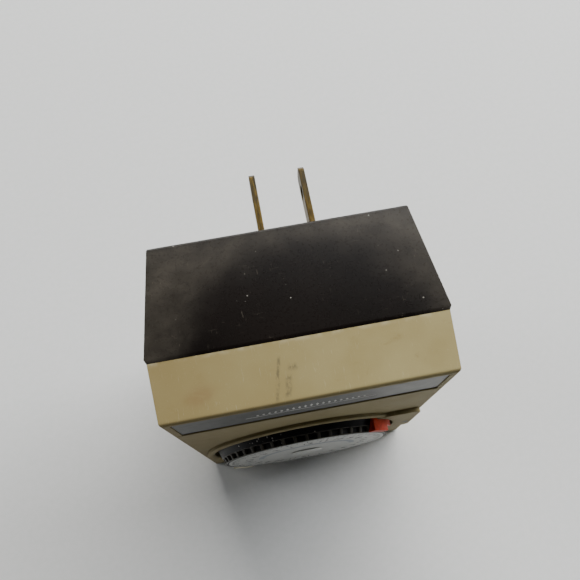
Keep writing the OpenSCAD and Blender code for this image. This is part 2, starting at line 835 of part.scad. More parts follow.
module motor_pinion() {
  color([0.75, 0.62, 0.3]) {
    gear(pinion_x, pinion_z, pinion_teeth, pinion_phase, stud_r - 0.4);
    rod_y(pinion_x, pinion_z, stud_r, gear_front_y + 0.1, plate_rear_y - 0.1);
  }
}

module gearcase() {
  color([0.7, 0.69, 0.66])
  difference() {
    union() {
      rod_y(motor_x, motor_z, can_r, plate_rear_y + 0.3, can_rear_y);
      rod_y(motor_x, motor_z, can_r + 0.8, plate_rear_y, plate_rear_y + 1.2);
      rod_y(motor_x, motor_z, rotor_r, can_rear_y - 1, stator_y + stator_t + 1);
      rod_y(motor_x, motor_z, 2.5, can_rear_y, stator_y + stator_t + 1.8);
    }
    rod_y(pinion_x, pinion_z, 3, plate_rear_y - 1, plate_rear_y + 0.6);
    // Room for the riveted end of the idler's stud
    rod_y(idler_x, idler_z, stud_head_r + 0.3, plate_rear_y - 1, plate_rear_y + 0.8);
  }
}

module stator() {
  window_high = 50;
  window_half = 10.4;
  color([0.33, 0.34, 0.36])
  difference() {
    box([motor_x - stator_half_w, stator_y, stator_low],
        [motor_x + stator_half_w, stator_y + stator_t, stator_high]);
    box([motor_x - window_half, stator_y - 1, stator_low + stator_leg],
        [motor_x + window_half, stator_y + stator_t + 1, window_high]);
    rod_y(motor_x, motor_z, rotor_r + 0.1, stator_y - 1, stator_y + stator_t + 1);
    // Air gap between the two poles
    box([motor_x - 1, stator_y - 1, window_high - 1], [motor_x + 1, stator_y + stator_t + 1, stator_high - 5]);
    for (x = [-motor_fix_x, motor_fix_x], z = motor_fix_z)
      rod_y(motor_x + x, z, motor_screw_r + 0.1, stator_y - 1, stator_y + stator_t + 1);
    // Trimmed upper corners
    for (side = [-1, 1])
      translate([side * stator_half_w, stator_y - 1, stator_high]) rotate([0, 45, 0])
        box([-2, 0, -2], [2, stator_t + 2, 2]);
  }
}

module square_ring(x0, x1, outer, inner_y, inner_z) {
  difference() {
    box([x0, coil_y - outer / 2, coil_z - outer / 2], [x1, coil_y + outer / 2, coil_z + outer / 2]);
    box([x0 - 1, coil_y - inner_y / 2, coil_z - inner_z / 2],
        [x1 + 1, coil_y + inner_y / 2, coil_z + inner_z / 2]);
  }
}

tube_y = stator_t + 1.4;
tube_z = stator_leg + 1.4;

module bobbin() {
  end = coil_half_l + flange_t;
  color([0.55, 0.2, 0.14])
  difference() {
    union() {
      for (side = [-1, 1])
        box([min(side * coil_half_l, side * end), coil_y - 7.5, coil_z - 7.5],
            [max(side * coil_half_l, side * end), coil_y + 7.5, coil_z + 7.5]);
      box([-end, coil_y - tube_y / 2, coil_z - tube_z / 2], [end, coil_y + tube_y / 2, coil_z + tube_z / 2]);
    }
    box([-end - 1, coil_y - stator_t / 2 - 0.02, coil_z - stator_leg / 2 - 0.02],
        [end + 1, coil_y + stator_t / 2 + 0.02, coil_z + stator_leg / 2 + 0.02]);
  }
}

module coil() {
  color([0.72, 0.42, 0.18])
    square_ring(-coil_half_l + 0.02, coil_half_l - 0.02, coil_side - 0.6, tube_y + 0.04, tube_z + 0.04);
}

module motor_spacers() {
  color([0.72, 0.72, 0.7])
  for (x = [-motor_fix_x, motor_fix_x], z = motor_fix_z)
    ring_y(motor_x + x, z, 2.3, motor_screw_r + 0.1, plate_rear_y, stator_y);
}

module motor_screws() {
  rear = stator_y + stator_t;
  color([0.62, 0.6, 0.55])
  for (x = [-motor_fix_x, motor_fix_x], z = motor_fix_z)
    difference() {
      union() {
        rod_y(motor_x + x, z, motor_screw_r - 0.02, plate_front_y - 0.6, rear + 0.5);
        rod_y(motor_x + x, z, 2.3, rear, rear + 1.6);
      }
      box([motor_x + x - 3, rear + 0.9, z - 0.35], [motor_x + x + 3, rear + 2, z + 0.35]);
    }
}

// ---------------------------------------------------------------- switch

module lever_pin() {
  color([0.72, 0.72, 0.7])
  difference() {
    union() {
      rod_x(lever_y, lever_z, lever_pin_r - 0.02, bracket_x - 1, bracket_x + 0.2);
      rod_x(lever_y, lever_z, lever_pin_r, bracket_x, lever_x1 + 0.95);
      rod_x(lever_y, lever_z, 2, bracket_x - 1.4, bracket_x - 1);
    }
    difference() {
      rod_x(lever_y, lever_z, 3, lever_x1 + 0.2, lever_x1 + 0.6);
      rod_x(lever_y, lever_z, 0.9, lever_x1, lever_x1 + 1);
    }
  }
}

module lever_clip() {
  color([0.3, 0.3, 0.32])
  difference() {
    rod_x(lever_y, lever_z, 2, lever_x1 + 0.24, lever_x1 + 0.56);
    rod_x(lever_y, lever_z, 0.92, lever_x1, lever_x1 + 1);
    box([lever_x1, lever_y - 0.6, lever_z - 3], [lever_x1 + 1, lever_y + 0.6, lever_z - 0.4]);
  }
}

module switch_lever() {
  arm_half = 1.4;
  color([0.13, 0.13, 0.14])
  translate([0, lever_y, lever_z]) rotate([lever_rest, 0, 0]) translate([0, -lever_y, -lever_z])
  difference() {
    union() {
      rod_x(lever_y, lever_z, lever_hub_r, lever_x0, lever_x1);
      // Arm forward to the finger that the trippers push
      box([28.2, finger_y, lever_z - arm_half], [lever_x1, lever_y, lever_z + arm_half]);
      box([finger_x, finger_y, lever_z - 0.75], [lever_x1, finger_y + 1.4, lever_z + 0.75]);
      // Ribbed thumb tab outside the housing
      box([lever_x1 - 0.5, tab_y - 1.5, lever_z - 1.3], [33.3, tab_y + 1.5, lever_z + 1.3]);
      for (y = [-1.5, -0.4, 0.7])
        box([33, tab_y + y, lever_z - 1.3], [33.6, tab_y + y + 0.6, lever_z + 1.3]);
      // Nose that lifts the contact leaf
      box([25.4, lever_y, lever_z - nose_r], [27.6, lever_y + nose_reach, lever_z + nose_r]);
      rod_x(lever_y + nose_reach, lever_z, nose_r, 25.4, 27.6);
      // Tail that clicks past the detent spring
      box([26, lever_y - 0.9, lever_z], [29, lever_y + 0.9, lever_z + 4.4]);
      rod_x(lever_y, lever_z + 4.3, 0.7, 26, 29);
    }
    rod_x(lever_y, lever_z, lever_pin_r + run, lever_x0 - 1, lever_x1 + 1);
  }
}

module detent_spring() {
  low = lever_z + 5.4;
  t = 0.35;
  x0 = 25.6;
  x1 = 29.2;
  color([0.78, 0.66, 0.4])
  difference() {
    union() {
      box([x0, lever_y - 3.2, low], [x1, plate_front_y, low + t]);
      box([x0, plate_front_y - t, low], [x1, plate_front_y, low + 7]);
      rod_x(lever_y, low + 0.2, 0.45, x0, x1);
    }
    rod_y(detent_x, detent_z, rivet_r + 0.02, plate_front_y - 2, plate_front_y + 1);
  }
}

module detent_rivet() {
  color([0.72, 0.6, 0.3]) {
    rod_y(detent_x, detent_z, rivet_r, plate_front_y - 0.5, plate_rear_y + 0.2);
    rod_y(detent_x, detent_z, rivet_head_r, plate_front_y - 0.85, plate_front_y - 0.35);
    rod_y(detent_x, detent_z, rivet_head_r, plate_rear_y, plate_rear_y + 0.5);
  }
}

fixed_z = leaf_z + leaf_t + contact_h + contact_gap + contact_h;
terminal_y0 = leaf_root_y + 0.8;
terminal_y1 = rear_in_y - 0.8;
base_mid_x = (base_x0 + base_x1) / 2;
base_rivet_places = [leaf_z - 2, fixed_z + 3];
contact_x = (leaf_x0 + leaf_x1) / 2;

module terminal_plate(z, y0, t, gap = 0) {
  box([leaf_x0 - gap, y0 - gap, z - gap], [leaf_x1 + gap, terminal_y1 + gap, z + t + gap]);
  box([tab_end_x, terminal_y0 - gap, z - gap], [leaf_x0 + gap, terminal_y1 + gap, z + t + gap]);
}

module switch_base() {
  color([0.4, 0.24, 0.14])
  difference() {
    box([base_x0, leaf_root_y, leaf_z - 4], [base_x1, rear_in_y, fixed_z + 6]);
    terminal_plate(leaf_z, leaf_root_y - 1, leaf_t + 0.3, 0.02);
    terminal_plate(fixed_z, leaf_root_y - 1, terminal_t, 0.02);
    for (z = base_rivet_places) rod_y(base_mid_x, z, rivet_r + 0.02, leaf_root_y - 1, rear_in_y + 1);
  }
}

module base_rivets() {
  color([0.72, 0.6, 0.3])
  for (z = base_rivet_places) {
    rod_y(base_mid_x, z, rivet_r, leaf_root_y - 0.2, rear_in_y);
    rod_y(base_mid_x, z, rivet_head_r, leaf_root_y - 0.6, leaf_root_y);
  }
}

module fixed_terminal() {
  color([0.78, 0.62, 0.3])
  difference() {
    terminal_plate(fixed_z, contact_y - 2.2, terminal_t);
    translate([contact_x, contact_y, fixed_z - 1]) cylinder(h = 3, r = rivet_r + 0.02);
  }
}

module fixed_contact() {
  color([0.83, 0.83, 0.82])
  translate([contact_x, contact_y, 0]) {
    translate([0, 0, fixed_z - contact_h]) cylinder(h = contact_h, r = contact_r);
    translate([0, 0, fixed_z - 0.1]) cylinder(h = terminal_t + 0.1, r = rivet_r);
    translate([0, 0, fixed_z + terminal_t]) cylinder(h = 0.4, r = 1.2);
  }
}

module leaf_terminal() {
  color([0.78, 0.62, 0.3]) terminal_plate(leaf_z, leaf_root_y + 0.05, leaf_t + 0.3);
}

module contact_leaf() {
  color([0.8, 0.62, 0.36])
  difference() {
    box([leaf_x0, lever_y + 4.3, leaf_z], [leaf_x1, leaf_root_y - 0.02, leaf_z + leaf_t]);
    translate([contact_x, contact_y, leaf_z - 1]) cylinder(h = 3, r = rivet_r + 0.02);
  }
}

module moving_contact() {
  color([0.83, 0.83, 0.82])
  translate([contact_x, contact_y, 0]) {
    translate([0, 0, leaf_z + leaf_t]) cylinder(h = contact_h, r = contact_r);
    translate([0, 0, leaf_z]) cylinder(h = leaf_t + 0.1, r = rivet_r);
    translate([0, 0, leaf_z - 0.3]) cylinder(h = 0.3, r = 1.2);
  }
}

// ---------------------------------------------------------------- wiring

tab_top = insert_high + 4;
line_x = plug_x + blade_pitch / 2;
neutral_x = plug_x - blade_pitch / 2;
tab_mid_y = (terminal_y0 + terminal_y1) / 2;
wire_y = rear_in_y - 12.6;

module line_wire() {
  end_z = fixed_z + terminal_t / 2;
  color([0.12, 0.12, 0.12])
    wire([
      [line_x, blade_end - joint_gap, plug_z], [line_x, wire_y + 4.5, plug_z],
      [line_x + 2, wire_y + 2.5, plug_z - 0.5], [20, wire_y + 5, 76], [20, wire_y + 8, 70],
      [20, wire_y + 9, 42], [16.5, tab_mid_y, 36.8], [17.4, tab_mid_y, end_z],
      [tab_end_x - joint_gap, tab_mid_y, end_z]
    ], wire_r);
}

module load_wire() {
  start_z = leaf_z + 0.3;
  color([0.12, 0.12, 0.12])
    wire([
      [tab_end_x - joint_gap, tab_mid_y, start_z], [17.4, tab_mid_y, start_z], [15.5, tab_mid_y, 30],
      [11, wire_y + 4, 23], [blade_pitch / 2 + 0.5, socket_y, tab_top + 3],
      [blade_pitch / 2, socket_y, tab_top + 1.5],
      [blade_pitch / 2, socket_y, tab_top + joint_gap]
    ], wire_r);
}

module neutral_wire() {
  color([0.8, 0.8, 0.78])
    wire([
      [neutral_x, blade_end - joint_gap, plug_z], [neutral_x, wire_y + 4.5, plug_z],
      [neutral_x - 2, wire_y + 2.5, plug_z - 0.5], [-20.5, wire_y + 5, 76], [-20.5, wire_y + 8, 70],
      [-20.5, wire_y + 8, 34], [-11, wire_y + 4, 23],
      [-blade_pitch / 2 - 0.5, socket_y, tab_top + 3], [-blade_pitch / 2, socket_y, tab_top + 1.5],
      [-blade_pitch / 2, socket_y, tab_top + joint_gap]
    ], wire_r);
}

module motor_leads() {
  flange_x = coil_half_l + flange_t;
  color([0.7, 0.3, 0.2])
  for (side = [-1, 1]) {
    x_blade = side > 0 ? line_x : neutral_x;
    wire([
      [side * (flange_x + joint_gap), coil_y + 6, coil_z], [side * (flange_x + 1), coil_y + 6, coil_z],
      [side * 14, coil_y + 5.5, coil_z + 4], [side * 18.2, coil_y + 4, 50], [side * 18.2, coil_y + 3, 76],
      [x_blade + side * 3, wire_y + 9, plug_z - 0.4], [x_blade + side * 1.6, wire_y + 9, plug_z],
      [x_blade + side * (blade_t / 2 + joint_gap), wire_y + 9, plug_z]
    ], lead_r);
  }
}

front_housing();
nameplate();
rear_cover();
rating_label();
housing_screws();
line_blade();
neutral_blade();
receptacle_insert();
line_contact();
neutral_contact();
chassis_plate();
dial_arbor();
arbor_clip();
dial_drum();
dial_faceplate();
dial_cap();
gear_clip();
dial_gear();
friction_washer();
on_tripper();
off_tripper();
idler_stud();
idler_gear();
idler_clip();
motor_pinion();
gearcase();
stator();
bobbin();
coil();
motor_spacers();
motor_screws();
lever_pin();
lever_clip();
switch_lever();
detent_spring();
detent_rivet();
switch_base();
base_rivets();
fixed_terminal();
fixed_contact();
leaf_terminal();
contact_leaf();
moving_contact();
line_wire();
load_wire();
neutral_wire();
motor_leads();
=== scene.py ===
# Looks of the plug-in timer: camera, light, materials, and the printed detail that the CAD leaves out
import json
import math

import bmesh
import bpy
from mathutils import Matrix, Vector


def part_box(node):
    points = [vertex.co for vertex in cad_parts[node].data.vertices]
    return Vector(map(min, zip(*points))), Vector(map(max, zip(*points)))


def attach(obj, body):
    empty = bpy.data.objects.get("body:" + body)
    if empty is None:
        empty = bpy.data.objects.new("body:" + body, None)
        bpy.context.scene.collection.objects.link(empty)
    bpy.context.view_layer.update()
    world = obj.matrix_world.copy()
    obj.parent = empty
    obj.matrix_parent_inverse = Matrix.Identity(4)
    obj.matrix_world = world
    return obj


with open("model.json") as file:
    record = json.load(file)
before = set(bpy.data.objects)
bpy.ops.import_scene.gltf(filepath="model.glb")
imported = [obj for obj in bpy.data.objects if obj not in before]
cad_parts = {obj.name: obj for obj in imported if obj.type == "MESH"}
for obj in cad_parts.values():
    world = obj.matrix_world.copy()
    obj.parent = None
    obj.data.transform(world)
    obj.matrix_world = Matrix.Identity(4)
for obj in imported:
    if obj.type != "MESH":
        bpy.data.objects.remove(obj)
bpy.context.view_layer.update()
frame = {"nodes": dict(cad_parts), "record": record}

# Everything is in metres, so a size in mm is multiplied by this
MM = 0.001
scene = bpy.context.scene

# ---------------------------------------------------------------- places, worked out from the frame


def low(node):
    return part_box(node)[0]


def high(node):
    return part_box(node)[1]


def middle(node):
    return (low(node) + high(node)) / 2


DIAL = middle("dial_faceplate")
DIAL_FRONT_Y = low("dial_faceplate").y
FACEPLATE_R = (high("dial_faceplate").x - low("dial_faceplate").x) / 2
COVER_LOW, COVER_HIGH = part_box("rear_cover")
SHELL_LOW, SHELL_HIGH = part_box("front_housing")
SEAM_Y = COVER_LOW.y
NAME_LOW, NAME_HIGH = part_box("nameplate")
LABEL_LOW, LABEL_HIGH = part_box("rating_label")

# The boss stands proud of the front face, and the dial's ribs start behind the faceplate and outside it
BOSS_Y = SHELL_LOW.y
FACE_Y = BOSS_Y + 1.2 * MM
RIB_Y = DIAL_FRONT_Y + 1.9 * MM
RIB_R = 23.7 * MM

# Wear, in mm: pale specks on the dial, from its middle along X and Z
SPECKS_OFFSET = (-11, 22)

# Places on the top, along X and Y: the brown stain, and the middle of the dark arch in the painted
# reflection
STAIN_AT = (-23, -22.8)
REFLECTION_ARCH_AT = (2.5, -14)

# Scuffs across the top, in mm: middle along X, start and end along Y, and half width. They lean about one Y
SCUFF_LEAN_Y = -22
SCUFFS = (
    (-6.4, -26.6, -17.7, 0.15),
    (-4.0, -26.2, -22.6, 0.5),
    (-3.9, -22.8, -21.8, 0.6),
    (-3.2, -20.6, -19.6, 1.1),
)

# ---------------------------------------------------------------- camera, light and floor

CAMERA_EYE = Vector((-7.1, -49.8, 217.4)) * MM
CAMERA_FORWARD = Vector((0.0514, 0.3505, -0.9352))
CAMERA_UP = Vector((0.1742, 0.9189, 0.3540))
SENSOR_MM = 36.0
LENS_MM = 37.27
NEAREST = 0.005
FARTHEST = 20

FLOOR_HALF = 3.0


def add_camera():
    data = bpy.data.cameras.new("camera")
    data.sensor_width = SENSOR_MM
    data.lens = LENS_MM
    data.clip_start = NEAREST
    data.clip_end = FARTHEST
    camera = bpy.data.objects.new("camera", data)
    back = -CAMERA_FORWARD.normalized()
    side = CAMERA_UP.cross(back).normalized()
    up = back.cross(side)
    camera.matrix_world = Matrix.Translation(CAMERA_EYE) @ Matrix((side, up, back)).transposed().to_4x4()
    scene.collection.objects.link(camera)
    scene.camera = camera


def add_light(name, place, target, width, height, power, colour):
    data = bpy.data.lights.new(name, "AREA")
    data.shape = "RECTANGLE"
    data.size = width
    data.size_y = height
    data.energy = power
    data.color = colour
    light = bpy.data.objects.new(name, data)
    light.location = place
    light.rotation_euler = (Vector(target) - Vector(place)).to_track_quat("-Z", "Y").to_euler()
    scene.collection.objects.link(light)


def add_world(colour, strength):
    world = bpy.data.worlds.new("studio")
    world.use_nodes = True
    background = world.node_tree.nodes["Background"]
    background.inputs["Color"].default_value = (*colour, 1)
    background.inputs["Strength"].default_value = strength
    scene.world = world


def mesh_object(name, build, material):
    """An object whose mesh is made by build(bm)."""
    bm = bmesh.new()
    build(bm)
    bmesh.ops.recalc_face_normals(bm, faces=bm.faces)
    mesh = bpy.data.meshes.new(name)
    bm.to_mesh(mesh)
    bm.free()
    mesh.materials.append(material)
    piece = bpy.data.objects.new(name, mesh)
    scene.collection.objects.link(piece)
    return piece


# ---------------------------------------------------------------- material tools

PLASTIC_IOR = 1.5
INK_IOR = 1.45


def srgb(red, green, blue):
    """A colour given as it looks on a screen, from 0 to 255."""
    def linear(value):
        value /= 255
        return value / 12.92 if value <= 0.04045 else ((value + 0.055) / 1.055) ** 2.4
    return (linear(red), linear(green), linear(blue), 1)


class Paint:
    """A material's nodes. A method adds the nodes for one step, and returns the last one's output."""

    def __init__(self, name, **surface):
        self.material = bpy.data.materials.new(name)
        self.material.use_nodes = True
        self.tree = self.material.node_tree
        self.surface = self.tree.nodes["Principled BSDF"]
        self.place = self.add("ShaderNodeTexCoord").outputs["Object"]
        self.parts = self.add("ShaderNodeSeparateXYZ", Vector=self.place).outputs
        for key, value in surface.items():
            self.put(self.surface.inputs[key.replace("_", " ")], value)

    def put(self, socket, value):
        """Link value to the socket if it is an output, and set it if it is plain."""
        if isinstance(value, bpy.types.NodeSocket):
            self.tree.links.new(value, socket)
        else:
            socket.default_value = value

    def add(self, kind, settings=(), **inputs):
        """A new node itself, with its settings and its inputs by name."""
        node = self.tree.nodes.new(kind)
        for key, value in dict(settings).items():
            setattr(node, key, value)
        for key, value in inputs.items():
            self.put(node.inputs[key.replace("_", " ")], value)
        return node

    def maths(self, kind, first, second=0.0):
        node = self.tree.nodes.new("ShaderNodeMath")
        node.operation = kind
        for socket, value in zip(node.inputs, (first, second)):
            self.put(socket, value)
        return node.outputs[0]

    def noise(self, size_mm, detail=3.0, rough=0.55, stretch=(1, 1, 1), warp=0.0):
        """Noise whose features are about size_mm across, longer along an axis whose stretch is above 1."""
        scale = tuple(1 / (size_mm * MM * s) for s in stretch)
        place = self.add("ShaderNodeMapping", Vector=self.place, Scale=scale).outputs[0]
        return self.add("ShaderNodeTexNoise", Vector=place, Scale=1.0, Detail=detail, Roughness=rough,
                        Distortion=warp).outputs["Fac"]

    def fade(self, value, start, end):
        """0 below start and 1 above end, or the other way round if start is above end."""
        settings = {"interpolation_type": "SMOOTHSTEP", "clamp": True}
        flip = start > end
        node = self.add("ShaderNodeMapRange", settings, Value=value, From_Min=min(start, end),
                        From_Max=max(start, end), To_Min=float(flip), To_Max=float(not flip))
        return node.outputs[0]

    def both(self, first, second):
        """Strong only where both are strong."""
        return self.maths("MULTIPLY", first, second)

    def either(self, first, second):
        """Strong where one of them is strong."""
        return self.maths("MAXIMUM", first, second)

    def blend(self, share, first, second):
        node = self.tree.nodes.new("ShaderNodeMix")
        node.data_type = "RGBA"
        self.put(node.inputs["Factor"], share)
        self.put(node.inputs["A"], first)
        self.put(node.inputs["B"], second)
        return node.outputs["Result"]

    def lay(self, base, mask, strength, colour):
        """A colour laid over base where the mask is, at most as strong as strength."""
        return self.blend(self.both(mask, strength), base, colour)

    def between(self, share, first, second):
        """A number from first to second."""
        node = self.add("ShaderNodeMapRange", {"clamp": True}, Value=share, To_Min=first, To_Max=second)
        return node.outputs[0]

    def span(self, axis, start_mm, end_mm, soft_mm):
        """1 where the place along an axis is between start and end, with soft ends."""
        value = self.parts["XYZ".index(axis)]
        up = self.fade(value, (start_mm - soft_mm) * MM, (start_mm + soft_mm) * MM)
        down = self.fade(value, (end_mm + soft_mm) * MM, (end_mm - soft_mm) * MM)
        return self.both(up, down)

    def distance(self, axes, centre_mm, scale=(1, 1)):
        """Distance in metres from a point in the plane of two axes, each axis scaled."""
        total = None
        for axis, centre, grow in zip(axes, centre_mm, scale):
            step = self.maths("SUBTRACT", self.parts["XYZ".index(axis)], centre * MM)
            step = self.maths("MULTIPLY", step, grow)
            square = self.maths("MULTIPLY", step, step)
            total = square if total is None else self.maths("ADD", total, square)
        return self.maths("SQRT", total)

    def bump(self, height, strength, depth_mm):
        node = self.add("ShaderNodeBump", Height=height, Strength=strength, Distance=depth_mm * MM)
        return node.outputs[0]

    def finish(self, **surface):
        """Set the surface's inputs by name, and return the material."""
        for key, value in surface.items():
            self.put(self.surface.inputs[key.replace("_", " ")], value)
        return self.material


# ---------------------------------------------------------------- materials of the outside


def cream_plastic():
    paint = Paint("cream_plastic", IOR=PLASTIC_IOR, Specular_IOR_Level=0.2)
    clouds = paint.noise(16, 3, 0.5)
    stains = paint.noise(5, 4, 0.6, warp=0.6)
    grain = paint.noise(0.35, 3, 0.6)
    base = paint.blend(paint.fade(clouds, 0.35, 0.7), srgb(170, 157, 110), srgb(160, 145, 97))
    # Painted shade: yellower and darker towards the left, away from the light
    left_shade = paint.fade(paint.parts["X"], 22 * MM, -38 * MM)
    base = paint.lay(base, left_shade, 0.6, srgb(134, 117, 76))
    base = paint.lay(base, paint.fade(stains, 0.58, 0.78), 0.45, srgb(140, 120, 76))
    base = paint.lay(base, paint.fade(grain, 0.6, 0.85), 0.25, srgb(205, 199, 170))
    # Dark scuffs across the top, left of the middle
    top = paint.fade(paint.parts["Z"], SHELL_HIGH.z - 3 * MM, SHELL_HIGH.z - 2 * MM)
    wander = paint.maths("MULTIPLY", paint.maths("SUBTRACT", paint.noise(3, 3), 0.5), 1.1 * MM)
    across = paint.maths("ADD", paint.parts["X"], wander)
    lean = paint.maths("MULTIPLY", paint.maths("SUBTRACT", paint.parts["Y"], SCUFF_LEAN_Y * MM), 0.2)
    across = paint.maths("SUBTRACT", across, lean)
    broken = paint.fade(paint.noise(0.9, 5, 0.75, stretch=(1, 2, 1)), 0.36, 0.6)
    scuffs = None
    for centre, start, end, width in SCUFFS:
        gap = paint.maths("ABSOLUTE", paint.maths("SUBTRACT", across, centre * MM))
        narrow = paint.fade(gap, (width + 0.45) * MM, width * 0.3 * MM)
        line = paint.both(narrow, paint.span("Y", start, end, 0.7))
        scuffs = line if scuffs is None else paint.either(scuffs, line)
    scuffs = paint.both(paint.both(scuffs, top), broken)
    base = paint.lay(base, scuffs, 0.62, srgb(88, 82, 66))
    # A brown stain to the left, and painted shade on the front face
    stain = paint.fade(paint.distance("XY", STAIN_AT, scale=(1, 1.6)), 5 * MM, 1 * MM)
    stain = paint.both(paint.both(stain, top), paint.fade(stains, 0.35, 0.6))
    base = paint.lay(base, stain, 0.4, srgb(134, 104, 70))
    front = paint.fade(paint.parts["Y"], FACE_Y + 1.2 * MM, FACE_Y + 0.2 * MM)
    base = paint.lay(base, front, 0.42, srgb(84, 76, 56))
    # Faint scratches and rubbed edges
    scratch = paint.noise(0.25, 2, 0.5, stretch=(1, 30, 1), warp=0.4)
    base = paint.lay(base, paint.fade(scratch, 0.66, 0.74), 0.18, srgb(214, 208, 182))
    seam = paint.fade(paint.parts["Y"], SEAM_Y - 1.2 * MM, SEAM_Y)
    seam_rub = paint.both(seam, paint.fade(paint.noise(3), 0.4, 0.7))
    base = paint.lay(base, seam_rub, 0.35, srgb(212, 205, 176))
    return paint.finish(
        Base_Color=base,
        Roughness=paint.between(stains, 0.58, 0.72),
        Normal=paint.bump(paint.maths("ADD", grain, paint.noise(1.4, 2)), 0.25, 0.03),
    )


def black_plastic():
    paint = Paint("black_plastic", IOR=PLASTIC_IOR, Specular_IOR_Level=0.18)
    # Painted reflection of the room on the black top: none in an arch from the seam to the rear edge, a
    # pale haze towards the corners
    arch = paint.distance("XY", REFLECTION_ARCH_AT, scale=(0.92, 1.1))
    wobble = paint.maths("MULTIPLY", paint.maths("SUBTRACT", paint.noise(9, 3, 0.5), 0.5), 14 * MM)
    painted_reflection = paint.fade(paint.maths("ADD", arch, wobble), 19 * MM, 36 * MM)
    patches = paint.between(paint.noise(5, 5, 0.7, warp=0.3), -0.1, 1.4)
    # Fainter below the top face, and close to its rear edge
    top = paint.fade(paint.parts["Z"], COVER_HIGH.z - 4 * MM, COVER_HIGH.z - 3 * MM)
    painted_reflection = paint.both(paint.both(painted_reflection, patches), paint.between(top, 0.3, 1.0))
    rear_edge = paint.fade(paint.parts["Y"], COVER_HIGH.y - 0.2 * MM, COVER_HIGH.y - 1.8 * MM)
    painted_reflection = paint.both(painted_reflection, paint.between(rear_edge, 0.45, 1.0))
    grime = paint.noise(0.8, 4, 0.7)
    # Darker smudges break up the painted reflection
    marks = paint.both(paint.fade(paint.noise(2.6, 5, 0.7, warp=1.6), 0.57, 0.68), painted_reflection)
    base = paint.blend(paint.fade(paint.noise(20), 0.3, 0.7), srgb(14, 10, 8), srgb(21, 16, 13))
    base = paint.lay(base, painted_reflection, 0.6, srgb(88, 83, 74))
    base = paint.lay(base, marks, 0.6, srgb(28, 24, 21))
    # Fine scratches in two directions
    lines = paint.fade(paint.noise(0.22, 2, 0.5, stretch=(1, 26, 1), warp=0.5), 0.69, 0.75)
    more = paint.fade(paint.noise(0.2, 2, 0.5, stretch=(24, 1, 1), warp=0.7), 0.70, 0.76)
    scratches = paint.both(paint.either(lines, more), paint.fade(paint.noise(7), 0.45, 0.6))
    base = paint.lay(base, scratches, 0.35, srgb(120, 112, 100))
    # Dust
    dust = paint.add("ShaderNodeTexVoronoi", Vector=paint.place, Scale=420.0, Randomness=1.0)
    specks = paint.fade(dust.outputs["Distance"], 0.09, 0.05)
    specks = paint.both(specks, paint.fade(paint.noise(3.1), 0.52, 0.56))
    base = paint.lay(base, specks, 0.5, srgb(190, 186, 176))
    rough = paint.maths("ADD", 0.24, paint.maths("MULTIPLY", grime, 0.08))
    return paint.finish(
        Base_Color=base,
        Roughness=rough,
        Normal=paint.bump(paint.maths("ADD", paint.noise(0.5, 2), scratches), 0.2, 0.012),
    )


def dial_black():
    paint = Paint("dial_black", IOR=PLASTIC_IOR, Specular_IOR_Level=0.2)
    wear = paint.noise(1.2, 4, 0.65)
    base = paint.blend(paint.fade(wear, 0.55, 0.8), srgb(12, 12, 13), srgb(38, 37, 35))
    # Pale specks, most of them left of the dial's top
    grains = paint.add("ShaderNodeTexVoronoi", Vector=paint.place, Scale=900.0, Randomness=1.0)
    patch_at = (DIAL.x / MM + SPECKS_OFFSET[0], DIAL.z / MM + SPECKS_OFFSET[1])
    patch = paint.fade(paint.distance("XZ", patch_at), 6 * MM, 3 * MM)
    lone = paint.fade(paint.noise(2.2), 0.6, 0.64)
    specks = paint.both(paint.fade(grains.outputs["Distance"], 0.26, 0.16), paint.either(patch, lone))
    base = paint.lay(base, specks, 0.75, srgb(186, 184, 178))
    # Painted highlight on the ribs between the rim's pockets and on the rim's front edge
    radius = paint.distance("XZ", (DIAL.x / MM, DIAL.z / MM))
    rib_highlight = paint.both(
        paint.fade(radius, RIB_R, RIB_R + 0.3 * MM),
        paint.fade(paint.parts["Y"], RIB_Y, RIB_Y - 0.2 * MM),
    )
    base = paint.lay(base, rib_highlight, paint.between(paint.noise(3), 0.1, 0.9), srgb(104, 101, 92))
    return paint.finish(
        Base_Color=base,
        Roughness=paint.between(wear, 0.35, 0.55),
        Normal=paint.bump(wear, 0.15, 0.02),
    )


def brushed_metal(name, bright, dark, along, rough, size_mm):
    """Metal with fine brushing along one axis."""
    paint = Paint(name, Metallic=1.0)
    stretch = tuple(60 if axis == along else 1 for axis in "XYZ")
    lines = paint.noise(size_mm, 3, 0.6, stretch=stretch)
    tarnish = paint.noise(4, 4, 0.6, warp=0.4)
    base = paint.blend(lines, bright, dark)
    base = paint.lay(base, paint.fade(tarnish, 0.5, 0.8), 0.4, dark)
    return paint.finish(
        Base_Color=base,
        Roughness=paint.between(tarnish, *rough),
        Normal=paint.bump(lines, 0.25, 0.01),
    )


def spun_metal():
    """Dial face: satin aluminium with circular spinning marks."""
    paint = Paint("face_metal", Metallic=1.0)
    radius = paint.distance("XZ", (DIAL.x / MM, DIAL.z / MM))
    steps = paint.maths("MULTIPLY", radius, 9000.0)
    spinning = paint.add("ShaderNodeTexNoise", {"noise_dimensions": "1D"}, W=steps, Scale=1.0, Detail=3.0)
    rings = spinning.outputs["Fac"]
    blotch = paint.noise(5, 4, 0.6)
    base = paint.blend(rings, srgb(184, 184, 180), srgb(160, 160, 156))
    base = paint.lay(base, paint.fade(blotch, 0.55, 0.8), 0.35, srgb(132, 129, 120))
    return paint.finish(
        Base_Color=base,
        Roughness=paint.between(blotch, 0.36, 0.5),
        Normal=paint.bump(rings, 0.2, 0.008),
    )


def moulded(name, colour, darker):
    """Plain moulded plastic with slight clouding, grime and grain."""
    paint = Paint(name, IOR=PLASTIC_IOR, Specular_IOR_Level=0.12)
    clouds = paint.noise(3, 4, 0.6)
    grain = paint.noise(0.25, 3, 0.6)
    base = paint.blend(paint.fade(clouds, 0.4, 0.75), colour, darker)
    base = paint.lay(base, paint.fade(grain, 0.6, 0.8), 0.2, darker)
    return paint.finish(
        Base_Color=base,
        Roughness=paint.between(clouds, 0.35, 0.5),
        Normal=paint.bump(grain, 0.2, 0.02),
    )


